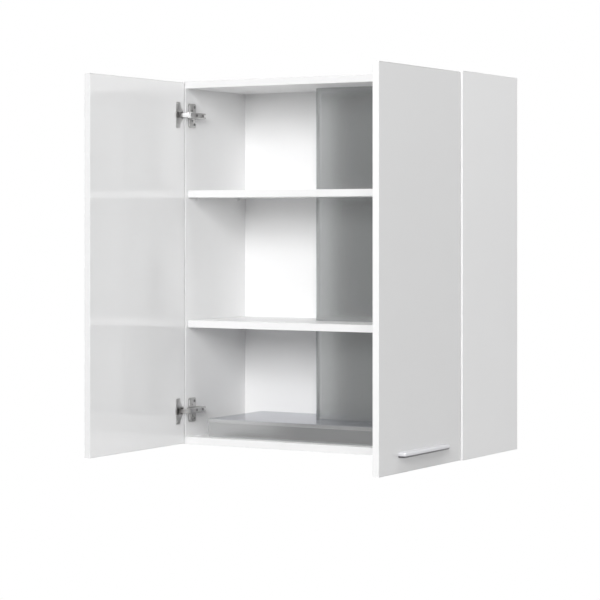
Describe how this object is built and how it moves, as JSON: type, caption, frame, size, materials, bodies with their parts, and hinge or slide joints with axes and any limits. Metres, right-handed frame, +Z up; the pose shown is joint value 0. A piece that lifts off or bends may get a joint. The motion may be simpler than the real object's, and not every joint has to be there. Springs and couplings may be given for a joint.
{
  "type": "range hood cabinet",
  "caption": "White wall cabinet with two open doors on concealed hinges, shelves notched round a steel duct and a slim built-in range hood in its base.",
  "frame": {"origin": "on the wall, at the centre of the hanging rail's rear face", "axes": "+X to the viewer's right, +Y into the wall (doors face -Y), +Z up"},
  "size_m": [0.834, 0.705, 0.926],
  "materials": {
    "white_board": "white laminate",
    "gloss_front": "white high gloss",
    "raw_wood": "plain",
    "grey_steel": "satin grey",
    "nickel": "nickel plated",
    "handle_metal": "satin",
    "filter_metal": "expanded mesh",
    "lamp_lens": "frosted",
    "dark_plastic": "satin",
    "grey_plastic": "satin"
  },
  "bodies": {
    "carcass": {"arm_pins": "nickel", "arm_screws": "nickel", "back_panel": "white_board", "bottom_panel": "white_board", "cable_gland": "dark_plastic", "dowels": "raw_wood", "duct": "grey_steel", "fan_frame": "grey_steel", "hanger_screws": "nickel", "hanging_rail": "raw_wood", "hood_body": "grey_steel", "hood_lid": "grey_steel", "hood_screws": "nickel", "left_hanger": "nickel", "left_lamp": "lamp_lens", "left_lower_arm": "nickel", "left_lower_plate": "nickel", "left_side": "white_board", "left_upper_arm": "nickel", "left_upper_plate": "nickel", "lower_shelf": "white_board", "motor": "nickel", "outlet_collar": "grey_steel", "plate_screws": "nickel", "right_hanger": "nickel", "right_lamp": "lamp_lens", "right_lower_arm": "nickel", "right_lower_plate": "nickel", "right_side": "white_board", "right_upper_arm": "nickel", "right_upper_plate": "nickel", "shelf_pins": "nickel", "top_panel": "white_board", "upper_shelf": "white_board"},
    "left_door": {"left_door": "gloss_front", "left_handle": "handle_metal", "left_handle_studs": "nickel", "left_lower_cup": "nickel", "left_upper_cup": "nickel", "left_cup_screws": "nickel"},
    "right_door": {"right_door": "gloss_front", "right_handle": "handle_metal", "right_handle_studs": "nickel", "right_lower_cup": "nickel", "right_upper_cup": "nickel", "right_cup_screws": "nickel"},
    "left_links": {"left_lower_link": "nickel", "left_upper_link": "nickel"},
    "right_links": {"right_lower_link": "nickel", "right_upper_link": "nickel"},
    "filter": {"filter_frame": "filter_metal", "filter_mesh": "filter_metal", "filter_grip": "dark_plastic"},
    "impeller": {"impeller": "dark_plastic"},
    "front_flap": {"front_flap": "grey_plastic"},
    "rear_flap": {"rear_flap": "grey_plastic"},
    "button_1": {"button_1": "dark_plastic"},
    "button_2": {"button_2": "dark_plastic"},
    "button_3": {"button_3": "dark_plastic"},
    "button_4": {"button_4": "dark_plastic"}
  },
  "joints": [
    {"name": "left_door_swing", "type": "hinge", "parent": "carcass", "child": "left_door", "pos_m": [-0.3921, -0.3144, -0.401], "axis": [0, 0, -1], "range_deg": [-90, 5]},
    {"name": "left_link_swing", "type": "hinge", "parent": "carcass", "child": "left_links", "pos_m": [-0.3652, -0.312, -0.401], "axis": [0, 0, -1], "range_deg": [-1.5, 20]},
    {"name": "right_door_swing", "type": "hinge", "parent": "carcass", "child": "right_door", "pos_m": [0.3921, -0.3144, -0.401], "axis": [0, 0, 1], "range_deg": [-90, 5]},
    {"name": "right_link_swing", "type": "hinge", "parent": "carcass", "child": "right_links", "pos_m": [0.3652, -0.312, -0.401], "axis": [0, 0, 1], "range_deg": [-1.5, 20]},
    {"name": "filter_drop", "type": "hinge", "parent": "carcass", "child": "filter", "pos_m": [0, -0.058, -0.8515], "axis": [1, 0, 0], "range_deg": [0, 85]},
    {"name": "button_1_press", "type": "slide", "parent": "carcass", "child": "button_1", "axis": [0, 0, 1], "range_m": [0, 0.0014], "stiffness_N_per_m": 300},
    {"name": "button_2_press", "type": "slide", "parent": "carcass", "child": "button_2", "axis": [0, 0, 1], "range_m": [0, 0.0014], "stiffness_N_per_m": 300},
    {"name": "button_3_press", "type": "slide", "parent": "carcass", "child": "button_3", "axis": [0, 0, 1], "range_m": [0, 0.0014], "stiffness_N_per_m": 300},
    {"name": "button_4_press", "type": "slide", "parent": "carcass", "child": "button_4", "axis": [0, 0, 1], "range_m": [0, 0.0014], "stiffness_N_per_m": 300},
    {"name": "impeller_spin", "type": "hinge", "parent": "carcass", "child": "impeller", "pos_m": [0, -0.087, -0.733], "axis": [0, 0, 1], "continuous": true},
    {"name": "front_flap_lift", "type": "hinge", "parent": "carcass", "child": "front_flap", "pos_m": [0, -0.087, 0.0564], "axis": [-1, 0, 0], "range_deg": [0, 80]},
    {"name": "rear_flap_lift", "type": "hinge", "parent": "carcass", "child": "rear_flap", "pos_m": [0, -0.087, 0.0564], "axis": [1, 0, 0], "range_deg": [0, 80]}
  ],
  "couplings": [
    {"joint": "left_link_swing", "follows": "left_door_swing", "ratio": -0.2133},
    {"joint": "right_link_swing", "follows": "right_door_swing", "ratio": -0.2133}
  ]
}
